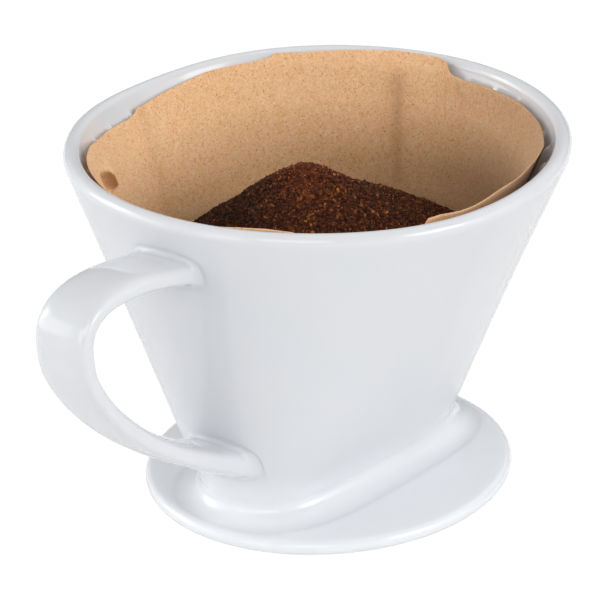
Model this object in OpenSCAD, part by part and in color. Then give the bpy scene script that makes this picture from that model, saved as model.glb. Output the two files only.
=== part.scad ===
// Pour over coffee dripper for one-by-four filter papers.
// A glazed porcelain cone, round at the rim and oval at the base, stands on a
// round flange that rests on a mug. A strap handle joins the narrow side.
// A folded filter paper lines the cone and holds a heap of ground coffee.
// Origin: centre of the flange's underside, the face that rests on the mug.
// +Z is up. The oval base is long along X, and the handle is at -X.

/* [Cone] */
// Outside diameter of the round rim
rim_d = 125; // [118:0.5:132]
// Height of the rim above the flange's underside
rim_h = 92.5; // [86:0.5:100]
// Length of the straight sides of the oval base
base_straight = 44; // [38:1:50]
// Width of the oval base, outside
base_w = 34; // [32:1:38]
// Wall thickness at the rim
wall_rim = 4.2; // [3.4:0.1:5]
// Wall thickness at the base
wall_base = 5.5; // [4.5:0.1:6]
// How far the fillet at the foot of the cone flares out
foot_flare = 5; // [3:0.5:6]

/* [Drainage ribs] */
// Number of ribs inside the cone
rib_n = 36; // [24:2:40]
// Height of each rib off the wall
rib_h = 1.3; // [0.8:0.1:1.6]
// Distance from the rim down to the top of the ribs
rib_drop = 5.5; // [4:0.5:20]

/* [Flange and locating ring] */
// Diameter of the round flange
flange_d = 94; // [92:1:104]
// Thickness of the flange
flange_t = 3.8; // [3:0.1:5]
// Outside diameter of the ring that drops into the mug
ring_d = 62; // [56:1:70]
// Depth of the ring below the flange
ring_h = 6; // [4:0.5:10]
// Wall thickness of the ring
ring_t = 4; // [3:0.5:6]
// Diameter of each drain hole
drain_d = 5; // [3:0.5:6]
// Distance between drain hole centres
drain_pitch = 14; // [10:1:16]

/* [Handle] */
// Furthest reach of the strap's middle line from the cone's axis
handle_reach = 96.6; // [90:0.2:102]
// Height of the top root of the handle
handle_top = 78.8; // [74:0.2:80]
// Height of the bottom root of the handle
handle_bottom = 21.3; // [19:0.1:26]
// Height at which the strap reaches furthest
handle_mid = 69.4; // [64:0.2:72]
// Width of the strap at its furthest point
strap_w = 15.9; // [13:0.1:19]
// Thickness of the strap at its furthest point
strap_t = 4.7; // [4:0.1:6]
// Width of the strap at the top root
root_w_top = 17.4; // [15:0.1:20]
// Width of the strap at the bottom root
root_w_bottom = 18; // [15:0.1:20]

/* [Filter paper] */
// Thickness of the paper wall
paper_t = 0.5; // [0.4:0.1:0.8]
// Clearance between the paper and the ribs
paper_gap = 0.3; // [0.2:0.1:0.6]
// Distance from the rim down to the paper's top edge
paper_drop = 1.5; // [0.5:0.5:8]

/* [Ground coffee] */
// Height at which the coffee meets the paper
fill_z = 59; // [40:0.5:64]
// Height of the top of the heap
heap_z = 84; // [72:0.5:88]
// Offset of the heap's top along X
heap_x = -2; // [-14:1:14]
// Offset of the heap's top along Y
heap_y = 3; // [-14:1:14]

/* [Hidden] */

$fn = 96;
porcelain = [0.89, 0.90, 0.92];
kraft = [0.80, 0.62, 0.46];
coffee = [0.25, 0.13, 0.08];

// Cone
base_z = flange_t;         // the cone stands on the flange's top
min_half_l = 0.02;         // keeps the oval's straight sides from vanishing
foot_h = foot_flare * 1.15;
foot_steps = [0, 0.22, 0.5, 1];    // fractions of foot_h
foot_power = 2.2;          // how quickly the flare dies away upwards
side_start = 6;            // where the plain side starts above base_z
rib_run_in = 1.6;          // height over which a rib rises from the wall
rib_low = 4;               // ribs keep their full height down to here above base_z
rib_foot = 0.6;            // part of the rib height left at base_z
// Edges of a rib's foot and crest from its middle, as fractions of the rib pitch
rib_edges = [-0.17, -0.07, 0.07, 0.17];

// Flange and locating ring
seat = 0.6;                // depth of the locating ring's seat in the flange
ring_chamfer = 0.8;
cut = 1;                   // how far cutters pass through a face

// Handle: the curve's tangents, as lengths and angles above level
bury = 2;                  // depth of each root's middle in the cone
top_pull = 46.2;
top_angle = 15.5;
bottom_pull = 45.4;
bottom_angle = 24.2;
mid_pull_up = 3.8;
mid_pull_down = 5.7;
curve_steps = 18;          // steps along each half of the handle
section_points = 24;
section_power = 0.72;      // below 1 makes the strap's section squarer
widen_power = 1.6;         // how the strap widens away from its middle
root_thicken = 0.9;        // extra thickness at the roots
flare_power = 14;          // keeps the flare close to the roots
flare_w = 0.16;            // extra part of the width at the roots
flare_t = 0.45;            // extra part of the thickness at the roots

// Paper and coffee
paper_z0 = base_z + 0.5;
paper_z1 = rim_h - paper_drop;
paper_pinch = 4.5;         // how far the paper draws in at base_z
arc_steps = 48;            // steps round each end of the paper's oval
level_steps = 8;
clear = 0.3;               // clearance between coffee and paper
side_clear = 0.1;          // extra clearance at the coffee's sides
heap_bulge = 0.12;         // how far the heap's slope bulges out
heap_top_step = 0.95;      // the last ring's way in towards the peak

// Fraction of the way up from the base to the rim
function rise(z) = (z - base_z) / (rim_h - base_z);
// Half length of the straight sides, and end radius, of the outside at height z
function half_l(z) = max(min_half_l, base_straight / 2 * (1 - rise(z)));
function end_r(z) = base_w / 2 + (rim_d - base_w) / 2 * rise(z);
// Wall thickness at height z
function wall(z) = wall_base + (wall_rim - wall_base) * rise(z);

// Heights in equal steps from one to another, starting at step number first
function levels(from, to, steps, first = 0) =
    [for (i = [first : steps]) from + (to - from) * i / steps];

// Point at a distance along an arc that begins at an angle
function arc_pt(x, r, start, distance) =
    let (angle = start + distance / r * 180 / PI)
    [x + r * cos(angle), r * sin(angle)];

// Point at a fraction of the way round an oval of half length l and end
// radius r, counter-clockwise from the middle of its +X end
function oval_pt(l, r, fraction) =
    let (quarter = PI * r / 2,
         side_1 = quarter,              // start of the +Y side
         arc_2 = side_1 + 2 * l,        // start of the -X end
         side_2 = arc_2 + 2 * quarter,  // start of the -Y side
         arc_3 = side_2 + 2 * l,        // start of the rest of the +X end
         travel = fraction * (arc_3 + quarter))
    travel < side_1 ? arc_pt(l, r, 0, travel) :
    travel < arc_2 ? [l - (travel - side_1), r] :
    travel < side_2 ? arc_pt(-l, r, 90, travel - arc_2) :
    travel < arc_3 ? [-l + (travel - side_2), -r] :
    arc_pt(l, r, 270, travel - arc_3);

// Places round the cone, as fractions of the way: the four edges of each rib
rib_places = [for (k = [0 : rib_n - 1], edge = rib_edges) (k + 0.5 + edge) / rib_n];

// Level ring of an oval at height z, drawn in by crest_h at the rib crests
function oval_ring(l, r, z, crest_h = 0) = [for (j = [0 : len(rib_places) - 1])
    let (on_crest = j % 4 == 1 || j % 4 == 2)
    concat(oval_pt(l, r - (on_crest ? crest_h : 0), rib_places[j]), z)];

// Rings of the cone's outside, standing flare off it, and of its inside wall
function outer_ring(z, flare = 0) = oval_ring(half_l(z), end_r(z) + flare, z);
function inner_ring(z, crest_h = 0) =
    oval_ring(half_l(z), end_r(z) - wall(z), z, crest_h);

// Solid through a list of rings that have the same number of points. With
// loop, the last ring joins the first, and otherwise both ends are capped.
module skin(rings, loop = false) {
    n = len(rings);
    m = len(rings[0]);
    sides = [for (i = [0 : loop ? n - 1 : n - 2], j = [0 : m - 1])
        let (this = i * m,
             next = (i + 1) % n * m,
             k = (j + 1) % m)
        each [[this + j, next + k, this + k], [this + j, next + j, next + k]]];
    caps = loop ? [] : [
        [for (j = [0 : m - 1]) j],
        [for (j = [m - 1 : -1 : 0]) (n - 1) * m + j]];
    polyhedron([for (ring = rings) each ring], concat(sides, caps), convexity = 8);
}

// The cone: outside wall with a flared foot, a rounded lip, and the inside wall
module cone_body() {
    lip_r = wall_rim / 2;
    lip_z = rim_h - lip_r;
    rib_z = rim_h - rib_drop;
    foot = [for (s = foot_steps)
        outer_ring(base_z + foot_h * s, foot_flare * pow(1 - s, foot_power))];
    side = [for (z = levels(base_z + side_start, lip_z, 4, first = 1)) outer_ring(z)];
    lip = [for (a = [30 : 30 : 150])
        oval_ring(half_l(lip_z), end_r(lip_z) - lip_r + lip_r * cos(a),
            lip_z + lip_r * sin(a))];
    inside = concat(
        [inner_ring(lip_z), inner_ring(rib_z)],
        [for (z = levels(rib_z - rib_run_in, base_z + rib_low, 4)) inner_ring(z, rib_h)],
        [inner_ring(base_z, rib_h * rib_foot)]);
    color(porcelain) skin(concat(foot, side, lip, inside), loop = true);
}

// Round flange with a rounded edge. Its middle is the floor of the cone, and
// three holes let the coffee through.
module saucer_flange() {
    edge_r = flange_t / 2;
    flat_r = flange_d / 2 - edge_r;
    ring_r = ring_d / 2;
    color(porcelain) difference() {
        union() {
            cylinder(h = flange_t, r = flat_r);
            rotate_extrude() translate([flat_r, edge_r]) circle(r = edge_r);
        }
        for (i = [-1, 0, 1]) translate([i * drain_pitch, 0, -cut])
            cylinder(h = flange_t + 2 * cut, r = drain_d / 2);
        // seat for the top of the locating ring
        rotate_extrude() polygon([
            [0, -cut], [ring_r, -cut], [ring_r, 0], [ring_r - seat, seat], [0, seat]]);
    }
}

// Ring under the flange that keeps the dripper centred in the mug
module locating_ring() {
    outer_r = ring_d / 2;
    inner_r = outer_r - ring_t;
    chamfer_z = -ring_h + ring_chamfer;
    color(porcelain) rotate_extrude() polygon([
        [inner_r, seat], [outer_r - seat, seat], [outer_r, 0],
        [outer_r, chamfer_z], [outer_r - ring_chamfer, -ring_h],
        [inner_r + ring_chamfer, -ring_h], [inner_r, chamfer_z]]);
}

// Point and direction at t along a cubic Bezier curve with control points p
function bezier(p, t) =
    pow(1 - t, 3) * p[0] + 3 * pow(1 - t, 2) * t * p[1]
    + 3 * (1 - t) * t * t * p[2] + pow(t, 3) * p[3];
function bezier_dir(p, t) =
    3 * pow(1 - t, 2) * (p[1] - p[0]) + 6 * (1 - t) * t * (p[2] - p[1])
    + 3 * t * t * (p[3] - p[2]);

// Middle of a handle root at height z, and a pull outwards and up from it, in XZ
function root_pt(z) = [-(half_l(z) + end_r(z)) + bury, z];
function root_pull(distance, angle) = distance * [-cos(angle), sin(angle)];

// Coordinate of the strap's section, from the cosine or sine of its angle
function squared(x) = sign(x) * pow(abs(x), section_power);

// Strap handle: a flat rounded section swept along a curve in the XZ plane,
// out from the top root, round, and back to the bottom root
module handle() {
    top = root_pt(handle_top);
    bottom = root_pt(handle_bottom);
    mid = [-handle_reach, handle_mid];
    upper = [top, top + root_pull(top_pull, top_angle), mid + [0, mid_pull_up], mid];
    lower = [mid, mid - [0, mid_pull_down],
        bottom + root_pull(bottom_pull, bottom_angle), bottom];
    color(porcelain) skin([for (i = [0 : 2 * curve_steps])
        let (on_upper = i <= curve_steps,
             t = (on_upper ? i : i - curve_steps) / curve_steps,
             curve = on_upper ? upper : lower,
             centre = bezier(curve, t),
             along = bezier_dir(curve, t),
             normal = [along[1], -along[0]] / norm(along),
             root_w = on_upper ? root_w_top : root_w_bottom,
             from_mid = abs(i / curve_steps - 1),   // 0 at the middle, 1 at the roots
             widen = pow(from_mid, widen_power),
             flare = pow(from_mid, flare_power),
             half_w = (strap_w + (root_w - strap_w) * widen) * (1 + flare_w * flare) / 2,
             half_t = (strap_t + root_thicken * widen) * (1 + flare_t * flare) / 2)
        [for (j = [0 : section_points - 1])
            let (angle = j * 360 / section_points,
                 p = centre + normal * half_t * squared(sin(angle)))
            [p[0], half_w * squared(cos(angle)), p[1]]]]);
}

// End radius of the paper's outside: close to the ribs above, and drawn in
// towards its bottom seam below
function paper_r(z) =
    end_r(z) - wall(z) - rib_h - paper_gap - paper_pinch * pow(1 - rise(z), 3);

// Ring of the paper's outside at height z, drawn in by inset and raised by
// lift, with its points at even angles round each end
function paper_ring(z, inset = 0, lift = 0) =
    let (r = paper_r(z) - inset)
    [for (end = [1, -1], k = [0 : arc_steps])
        let (a = -90 * end + k * 180 / arc_steps)
        [end * half_l(z) + r * cos(a), r * sin(a), z + lift]];

// The opened filter paper, a thin shell with a closed bottom
module paper_filter() {
    outside = levels(paper_z0, paper_z1, level_steps);
    inside = levels(paper_z1, paper_z0, level_steps);
    color(kraft) skin(concat(
        [for (z = outside) paper_ring(z)],
        [for (i = [0 : level_steps - 1]) paper_ring(inside[i], paper_t)],
        [paper_ring(paper_z0, paper_t, lift = paper_t)]));
}

// The coffee: it fills the paper up to fill_z, and is heaped above that
module coffee_grounds() {
    inset = paper_t + clear;
    edge = paper_ring(fill_z, inset);
    // Rings of the heap: the part of the way in to the peak, and the height
    heap = concat(
        [for (i = [1 : 4]) let (s = i / 5)
            [s, fill_z + (heap_z - fill_z) * s * (1 + heap_bulge * (1 - s))]],
        [[heap_top_step, heap_z]]);
    color(coffee) skin(concat(
        [for (z = levels(paper_z0 + inset, fill_z, level_steps))
            paper_ring(z, inset + side_clear)],
        [for (step = heap) [for (p = edge)
            [p[0] + (heap_x - p[0]) * step[0], p[1] + (heap_y - p[1]) * step[0], step[1]]]]));
}

cone_body();
saucer_flange();
locating_ring();
handle();
paper_filter();
coffee_grounds();
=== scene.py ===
"""A porcelain coffee dripper on a flange, with a paper filter and a heap of ground coffee.

The cone's axis is +Z, the flange's underside is at z 0 and the handle lies towards -X. The
mouth is round, and the cone narrows downwards to an oval that is longer along X.
Meshes are worked out in millimetres and turned into metres when they are made.
"""
import math
import bpy
import bmesh
import numpy as np
from mathutils import Vector, Matrix


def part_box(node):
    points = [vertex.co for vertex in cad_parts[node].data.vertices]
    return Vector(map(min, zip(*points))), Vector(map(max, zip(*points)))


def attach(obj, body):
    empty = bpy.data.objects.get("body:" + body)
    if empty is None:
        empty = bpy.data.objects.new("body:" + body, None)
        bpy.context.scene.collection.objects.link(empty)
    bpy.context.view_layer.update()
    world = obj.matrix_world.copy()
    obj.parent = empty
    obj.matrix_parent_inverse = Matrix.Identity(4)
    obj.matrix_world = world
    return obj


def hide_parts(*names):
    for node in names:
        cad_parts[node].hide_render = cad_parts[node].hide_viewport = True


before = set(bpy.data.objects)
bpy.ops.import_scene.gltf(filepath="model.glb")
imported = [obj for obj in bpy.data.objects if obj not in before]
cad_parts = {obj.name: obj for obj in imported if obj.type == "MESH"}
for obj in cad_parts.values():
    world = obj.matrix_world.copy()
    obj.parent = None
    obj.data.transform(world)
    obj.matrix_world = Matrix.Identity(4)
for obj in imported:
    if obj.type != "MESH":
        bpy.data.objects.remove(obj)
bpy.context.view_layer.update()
scene = bpy.context.scene
MM = 0.001

# ---------------------------------------------------------------- dimensions
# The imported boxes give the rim, the flange and the ring under it.
cone_lo, cone_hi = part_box("cone_body")
flange_lo, flange_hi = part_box("saucer_flange")
ring_lo, ring_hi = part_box("locating_ring")
RIM_H = cone_hi.z / MM
RIM_R = (cone_hi.x - cone_lo.x) / MM / 2 + 0.55
FLANGE_R = (flange_hi.x - flange_lo.x) / MM / 2
FLANGE_H = flange_hi.z / MM
RING_R = (ring_hi.x - ring_lo.x) / MM / 2
RING_Z = ring_lo.z / MM

FOOT_Z, FOOT_HALF, FOOT_R = 9.1, 21.0, 19.7  # the oval near the foot: height, half length, end radius
FOOT_TWIST, FOOT_SHIFT = math.radians(-3.0), 0.35  # it sits a little askew to the handle
LIP_R = 2.15                        # radius of the rounded lip
WALL_TOP = RIM_H - LIP_R - 1.2      # where the outside wall turns into the lip
WALL_H = WALL_TOP - FOOT_Z
WALL_TOP_R = RIM_R - 0.25
FOOT_WALL = 5.4                     # wall thickness near the foot
LIP_WALL = 2 * LIP_R + 0.1          # and under the lip
SOFT = 0.10                         # how softly the flat sides turn into the round ends
SOFT_SCALE = math.sqrt(1 + SOFT * SOFT) - SOFT
RIBS = 36

# the flange dried a little out of round
STRETCH_X, STRETCH_Y = 1.018, 0.980
FLANGE_EDGE_R = 1.9
FLANGE_INNER_R = 26.5               # inside this the flange is flat and holds the drain holes
RECESS_Z = 0.55                     # underside inside the ring
HOLE_R, HOLE_PITCH = 2.5, 14

# Rim and mouth distortions: plan angle and width in degrees, lift in mm
RIM_LIFTS = ((178, 34, 0.5), (84, 21, -1.15), (-108, 28, -1.3), (5, 60, -0.22))

# The view's directions in plan; the heap, the colours and the lights refer to them too
VIEW_AZ, VIEW_EL, VIEW_ROLL = -52.0, 24.784, -2.171
VIEW_RIGHT = np.array([math.cos(math.radians(VIEW_AZ)), math.sin(math.radians(VIEW_AZ))])
TO_CAMERA = np.array([math.sin(math.radians(VIEW_AZ)), -math.cos(math.radians(VIEW_AZ))])


# ------------------------------------------------------------- curve helpers
def smooth(t):
    t = np.clip(t, 0.0, 1.0)
    return t * t * (3 - 2 * t)


def rise(x, start, width):
    """0 up to start, then a soft climb to 1 over width."""
    return smooth((x - start) / width)


def fall(x, start, width):
    return 1 - rise(x, start, width)


def bell(x, centre, width):
    return np.exp(-((x - centre) / width) ** 2)


def wrap(deg):
    return (deg + 180.0) % 360.0 - 180.0


def bells(deg, table):
    """Sum of bells round the circle; the table's rows are centre, width, height."""
    return sum(height * bell(wrap(deg - centre), 0, width) for centre, width, height in table)


def unit(theta):
    return np.stack([np.cos(theta), np.sin(theta)], -1)


def run_length(points):
    """Distance along a line of points, from 0 at the first."""
    return np.concatenate([[0.0], np.cumsum(np.linalg.norm(np.diff(points, axis=0), axis=1))])


def relax(values, passes):
    """Smooth a row of values or points in place, with its ends fixed."""
    for _ in range(passes):
        values[1:-1] = values[1:-1] * 0.5 + (values[:-2] + values[2:]) * 0.25


# ------------------------------------------------------------ the cone's shape
def up(z):
    return (z - FOOT_Z) / WALL_H


def half_length(z):
    return np.maximum(0.0, FOOT_HALF * (1 - up(z)))


def end_radius(z):
    return FOOT_R + (WALL_TOP_R - FOOT_R) * up(z)


def wall_thickness(z):
    return FOOT_WALL + (LIP_WALL - FOOT_WALL) * np.clip(up(z), 0, 1)


def oval(half, radius, theta):
    """Points of a softened oval with this half length and end radius, by their normal's angle."""
    twist = FOOT_TWIST * half / FOOT_HALF
    c, s = np.cos(theta - twist), np.sin(theta - twist)
    root = np.sqrt(c * c + SOFT * SOFT)
    support = radius + half * (root - SOFT) / SOFT_SCALE
    turn = half * (-c * s / root) / SOFT_SCALE
    x, y = support * c - turn * s, support * s + turn * c
    return np.stack([x * np.cos(twist) - y * np.sin(twist) + FOOT_SHIFT * half / FOOT_HALF,
                     x * np.sin(twist) + y * np.cos(twist)], -1)


OVAL_THETA = np.linspace(0, 2 * np.pi, 2881)


def oval_run(half, radius):
    return run_length(oval(half, radius, OVAL_THETA))


def theta_of(half, radius, fraction):
    """Normal angles of the points at these fractions of the way round an oval."""
    run = oval_run(half, radius)
    return np.interp(fraction, run / run[-1], OVAL_THETA)


def side_slope(theta):
    """How far the outside wall moves out for each millimetre of height, by normal angle."""
    c = np.abs(np.cos(theta))
    shrink = FOOT_HALF * (np.sqrt(c * c + SOFT * SOFT) - SOFT) / SOFT_SCALE / WALL_H
    return (WALL_TOP_R - FOOT_R) / WALL_H - shrink


def wall_across(z, theta):
    """The wall's thickness measured level."""
    return wall_thickness(z) / np.cos(np.arctan(side_slope(theta)))


def flange_rho(points):
    return np.hypot(points[:, 0] / STRETCH_X, points[:, 1] / STRETCH_Y)


def flange_top(rho):
    t = (FLANGE_R - 2.6 - rho) / 17.0
    return FLANGE_H - 0.1 + (t + np.sqrt(t * t + 0.008)) / 2


def just_on_flange(points):
    return flange_top(flange_rho(points)) + 0.006


# ------------------------------------------------------------- mesh helpers
def add_mesh(name, verts, faces, smooth_faces=True):
    me = bpy.data.meshes.new(name)
    me.from_pydata([tuple(v) for v in (np.asarray(verts, float) * MM)], [], faces)
    me.validate()
    me.update()
    if smooth_faces:
        me.polygons.foreach_set("use_smooth", [True] * len(me.polygons))
    return add_object(name, me)


def add_object(name, data):
    ob = bpy.data.objects.new(name, data)
    scene.collection.objects.link(ob)
    return ob


def grid_faces(rows, cols, loop=False):
    """Quads that join rings of cols points each; loop joins the last ring to the first."""
    i = np.arange(rows if loop else rows - 1)[:, None]
    j = np.arange(cols)[None]
    after_i, after_j = (i + 1) % rows, (j + 1) % cols
    corners = [i * cols + j, i * cols + after_j, after_i * cols + after_j, after_i * cols + j]
    return np.stack(corners, -1).reshape(-1, 4).tolist()


def capped_faces(rows, cols):
    """An open grid with fans to two more vertices, at its first and its last ring."""
    faces = grid_faces(rows, cols)
    tip, last = rows * cols, (rows - 1) * cols
    for j in range(cols):
        faces.append([tip, (j + 1) % cols, j])
        faces.append([tip + 1, last + j, last + (j + 1) % cols])
    return faces


def grid_normals(grid):
    """Unit normals from a grid's own tangents, one-sided at its first and last rings."""
    normals = np.cross(np.roll(grid, -1, 1) - np.roll(grid, 1, 1), np.gradient(grid, axis=0))
    return normals / np.maximum(np.linalg.norm(normals, axis=2), 1e-9)[..., None]


def set_normals(ob, normals):
    ob.data.normals_split_custom_set_from_vertices([tuple(x) for x in normals])


def turn_faces_out(ob):
    bm = bmesh.new()
    bm.from_mesh(ob.data)
    bmesh.ops.recalc_face_normals(bm, faces=bm.faces)
    bm.to_mesh(ob.data)
    bm.free()
    ob.data.update()


def point_attribute(ob, name, values):
    attribute = ob.data.attributes.new(name, "FLOAT", "POINT")
    attribute.data.foreach_set("value", values.astype(np.float32))


def spin(profile, segments):
    """Rings round the axis from a profile of radius and height."""
    angles = np.linspace(0, 2 * np.pi, segments, endpoint=False)
    return np.array([[(r * math.cos(a), r * math.sin(a), z) for a in angles] for r, z in profile])


def arc(centre_r, centre_z, radius, start, end, count):
    return [(centre_r + radius * math.cos(math.radians(a)),
             centre_z + radius * math.sin(math.radians(a))) for a in np.linspace(start, end, count)]


# ---------------------------------------------------------------------- cone
# Points across one rib, as fractions of the pitch from its middle
RIB_STATIONS = np.array([-.5, -.42, -.34, -.27, -.21, -.16, -.115, -.075, -.035,
                         0, .035, .075, .115, .16, .21, .27, .34, .42])
CONE_U = ((np.arange(RIBS)[:, None] + 0.5 + RIB_STATIONS[None]) / RIBS).ravel()
RIB_TOP = RIM_H - 5.3
RIB_H, RIB_HALF = 1.3, 1.5
FILLET_H = 4.3                      # the outside foot's fillet: height, and least and most reach
FILLET_REACH = (3.0, 8.0)


def foot_rings():
    """The concave foot, tangent to the flange's top and to the leaning wall.

    Returns its rings, their normal angles and the heights where the wall takes over.
    """
    theta = theta_of(half_length(8.0), end_radius(8.0), CONE_U)
    outward = unit(theta)
    slope = side_slope(theta)
    reach = np.full(len(theta), FILLET_REACH[1])
    # draw the reach in where the fillet would run over the flange's edge
    for _ in range(80):
        level = np.sqrt(reach ** 2 + (slope * FILLET_H) ** 2) + slope * FILLET_H
        landing = oval(half_length(4.6), end_radius(4.6), theta) + outward * level[:, None]
        over = flange_rho(landing) - (FLANGE_R - 2.1)
        reach = np.clip(reach - 0.3 * np.maximum(over, 0), *FILLET_REACH)
    for _ in range(300):
        reach = 0.5 * reach + 0.25 * (np.roll(reach, 1) + np.roll(reach, -1))
    centre_z = just_on_flange(landing) + FILLET_H
    phi_wall = -np.arctan(slope * FILLET_H / reach)
    rho = flange_rho(landing)
    drop = (flange_top(rho - 0.05) - flange_top(rho + 0.05)) / 0.1
    phi_flange = np.arccos(np.clip(drop * reach / FILLET_H, 0, 0.5))

    def arc_ring(phi):
        z = centre_z - FILLET_H * np.sin(phi)
        off = (np.sqrt(reach ** 2 + (slope * FILLET_H) ** 2) - reach * np.cos(phi)
               + slope * FILLET_H * np.sin(phi))
        return oval(half_length(z), end_radius(z), theta) + outward * off[:, None], z

    start, start_z = arc_ring(phi_flange)
    lift = just_on_flange(start) - start_z
    rings = []
    for t in np.linspace(0, 1, 26)[:-1]:
        points, z = arc_ring(phi_flange + (phi_wall - phi_flange) * t)
        rings.append(np.column_stack([points, z + lift * (1 - t) ** 2]))
    return rings, theta, centre_z - FILLET_H * np.sin(phi_wall)


def wall_rings(theta_foot, z_foot):
    """The outside wall; its normal angles drift from the foot's to the rim's even ones."""
    rings = []
    for s in np.linspace(0, 1, 34):
        z = z_foot + (WALL_TOP - z_foot) * s
        theta = theta_foot + (2 * np.pi * CONE_U - theta_foot) * s
        rings.append(np.column_stack([oval(half_length(z), end_radius(z), theta), z]))
    return rings


def lip_rings():
    """Half a turn of a rounded edge, started where the wall meets it."""
    theta = 2 * np.pi * CONE_U
    lean = np.arctan(side_slope(theta))
    rings = []
    for s in np.linspace(0, 1, 15):
        phi = -lean + s * math.pi
        rho = RIM_R - LIP_R + LIP_R * np.cos(phi)
        z = RIM_H - LIP_R + LIP_R * np.sin(phi)
        rings.append(np.column_stack([unit(theta) * rho[:, None], z]))
    return rings


def inside_rings():
    """The ribbed inside wall, from the lip down to the floor."""
    from_rib = np.abs((CONE_U * RIBS) % 1.0 - 0.5)
    crest = RIB_TOP + 1.2
    heights = np.concatenate([
        [RIM_H - LIP_R - 0.35],
        crest - np.array([0, .4, .8, 1.2, 1.6, 2.0, 2.4, 2.9, 3.5, 4.2]),
        np.linspace(RIB_TOP - 4, FLANGE_H + 7, 26),
        FLANGE_H + np.array([4.5, 2.6, 1.4, 0.6, -0.4])])
    rings = []
    for z in heights:
        half, radius = half_length(z), end_radius(z)
        inner = radius - wall_thickness(z)
        theta = theta_of(half, inner, CONE_U)
        dist = from_rib * oval_run(half, inner)[-1] / RIBS
        # a rib starts with a rounded top end
        rib_h = RIB_H * math.sqrt(1 - (1 - min(max((crest - z) / 2.4, 0.0), 1.0)) ** 2)
        ribs = rib_h * (0.5 + 0.5 * np.cos(np.pi * np.clip(dist / RIB_HALF, 0, 1))) ** 0.7
        foot = 1.6 * (1 - np.clip((z - FLANGE_H) / 5.0, 0, 1)) ** 2.5
        inset = wall_across(z, theta) + ribs + foot
        points = oval(half, radius, theta) - unit(theta) * inset[:, None]
        rings.append(np.column_stack([points, np.full(len(points), z)]))
    return rings


def build_cone():
    """Foot fillet, wall, lip and ribbed inside, as one closed loft."""
    foot, theta, z_foot = foot_rings()
    grid = np.array(foot + wall_rings(theta, z_foot) + lip_rings() + inside_rings())
    # the rim came out of the kiln uneven in height and a little wide at the -Y side
    deg = np.degrees(np.arctan2(grid[..., 1], grid[..., 0]))
    high = rise(grid[..., 2], 40, 45.0)
    grid[..., 2] += high * bells(deg, RIM_LIFTS)
    grid[..., :2] *= (1 + high * 0.65 * bell(deg, -78, 24) / RIM_R)[..., None]
    ob = add_mesh("cone_glazed", grid.reshape(-1, 3), grid_faces(*grid.shape[:2], loop=True))
    turn_faces_out(ob)
    set_normals(ob, grid_normals(grid).reshape(-1, 3))
    return ob


# ----------------------------------------------------------- flange and ring
def build_flange():
    """Domed top, rounded edge, flat underside and three drain holes along X."""
    edge_r = FLANGE_EDGE_R
    profile = [(rho, float(flange_top(rho)))
               for rho in np.linspace(FLANGE_INNER_R, FLANGE_R - 3.2, 14)]
    profile += arc(FLANGE_R - edge_r, FLANGE_H - 0.1 - edge_r + 0.02, edge_r, 82, -82, 17)
    profile += [(rho, 0.0) for rho in (FLANGE_R - 3.0, 38.0, RING_R + 0.6, RING_R + 0.1)]
    profile += [(RING_R - 0.5, RECESS_Z), (FLANGE_INNER_R, RECESS_Z)]
    segments = 256
    grid = spin(profile, segments)
    for row, (r, z) in zip(grid, profile):
        if r > RING_R + 0.3 or z > 1:
            row *= [STRETCH_X, STRETCH_Y, 1]
    bm = bmesh.new()
    verts = [bm.verts.new(Vector(v) * MM) for v in grid.reshape(-1, 3)]
    for face in grid_faces(len(profile), segments):
        bm.faces.new([verts[i] for i in face])
    top_loops, bottom_loops = [verts[:segments]], [verts[-segments:]]

    top = float(flange_top(FLANGE_INNER_R))
    # a hole's wall with rounded edges: distance outside the hole's radius, and height
    hole_wall = ((0.9, top), (0.35, top - 0.12), (0.06, top - 0.45), (0, top - 1.0),
                 (0, RECESS_Z + 1.0), (0.06, RECESS_Z + 0.45), (0.35, RECESS_Z + 0.12),
                 (0.9, RECESS_Z))
    sides = 48
    angles = np.linspace(0, 2 * np.pi, sides, endpoint=False)
    for hole_x in (-HOLE_PITCH, 0, HOLE_PITCH):
        rows = []
        for extra, z in hole_wall:
            r = HOLE_R + extra
            rows.append([bm.verts.new(Vector((hole_x + r * math.cos(a), r * math.sin(a), z)) * MM)
                         for a in angles])
        for upper, lower in zip(rows, rows[1:]):
            for j in range(sides):
                after = (j + 1) % sides
                bm.faces.new([upper[j], upper[after], lower[after], lower[j]])
        top_loops.append(rows[0])
        bottom_loops.append(rows[-1])

    for loops in (top_loops, bottom_loops):
        edges = []
        for loop in loops:
            for pair in zip(loop, loop[1:] + loop[:1]):
                edges.append(bm.edges.get(pair) or bm.edges.new(pair))
        bmesh.ops.triangle_fill(bm, use_beauty=True, use_dissolve=False, edges=edges)
    bmesh.ops.recalc_face_normals(bm, faces=bm.faces)
    for face in bm.faces:
        face.smooth = True
    me = bpy.data.meshes.new("flange_glazed")
    bm.to_mesh(me)
    bm.free()
    return add_object("flange_glazed", me)


def build_ring():
    """The ring under the flange, with rounded bottom edges."""
    outer, inner, edge_r = RING_R, RING_R - 4.0, 1.2
    profile = [(outer - 0.6, 0.6), (outer, 0.02)]
    profile += [(outer, z) for z in (-1.2, -2.6, -4.0)]
    profile += arc(outer - edge_r, RING_Z + edge_r, edge_r, 0, -90, 8)
    profile += arc(inner + edge_r, RING_Z + edge_r, edge_r, -90, -180, 8)
    profile += [(inner, z) for z in (-4.0, -2.4, -1.0)]
    profile += arc(inner - 1.0, -0.45, 1.0, 0, 90, 6)
    profile += [(inner - 1.0, 0.6)]
    grid = spin(profile, 224)
    ob = add_mesh("ring_footed", grid.reshape(-1, 3), grid_faces(*grid.shape[:2], loop=True))
    turn_faces_out(ob)
    return ob


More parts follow.
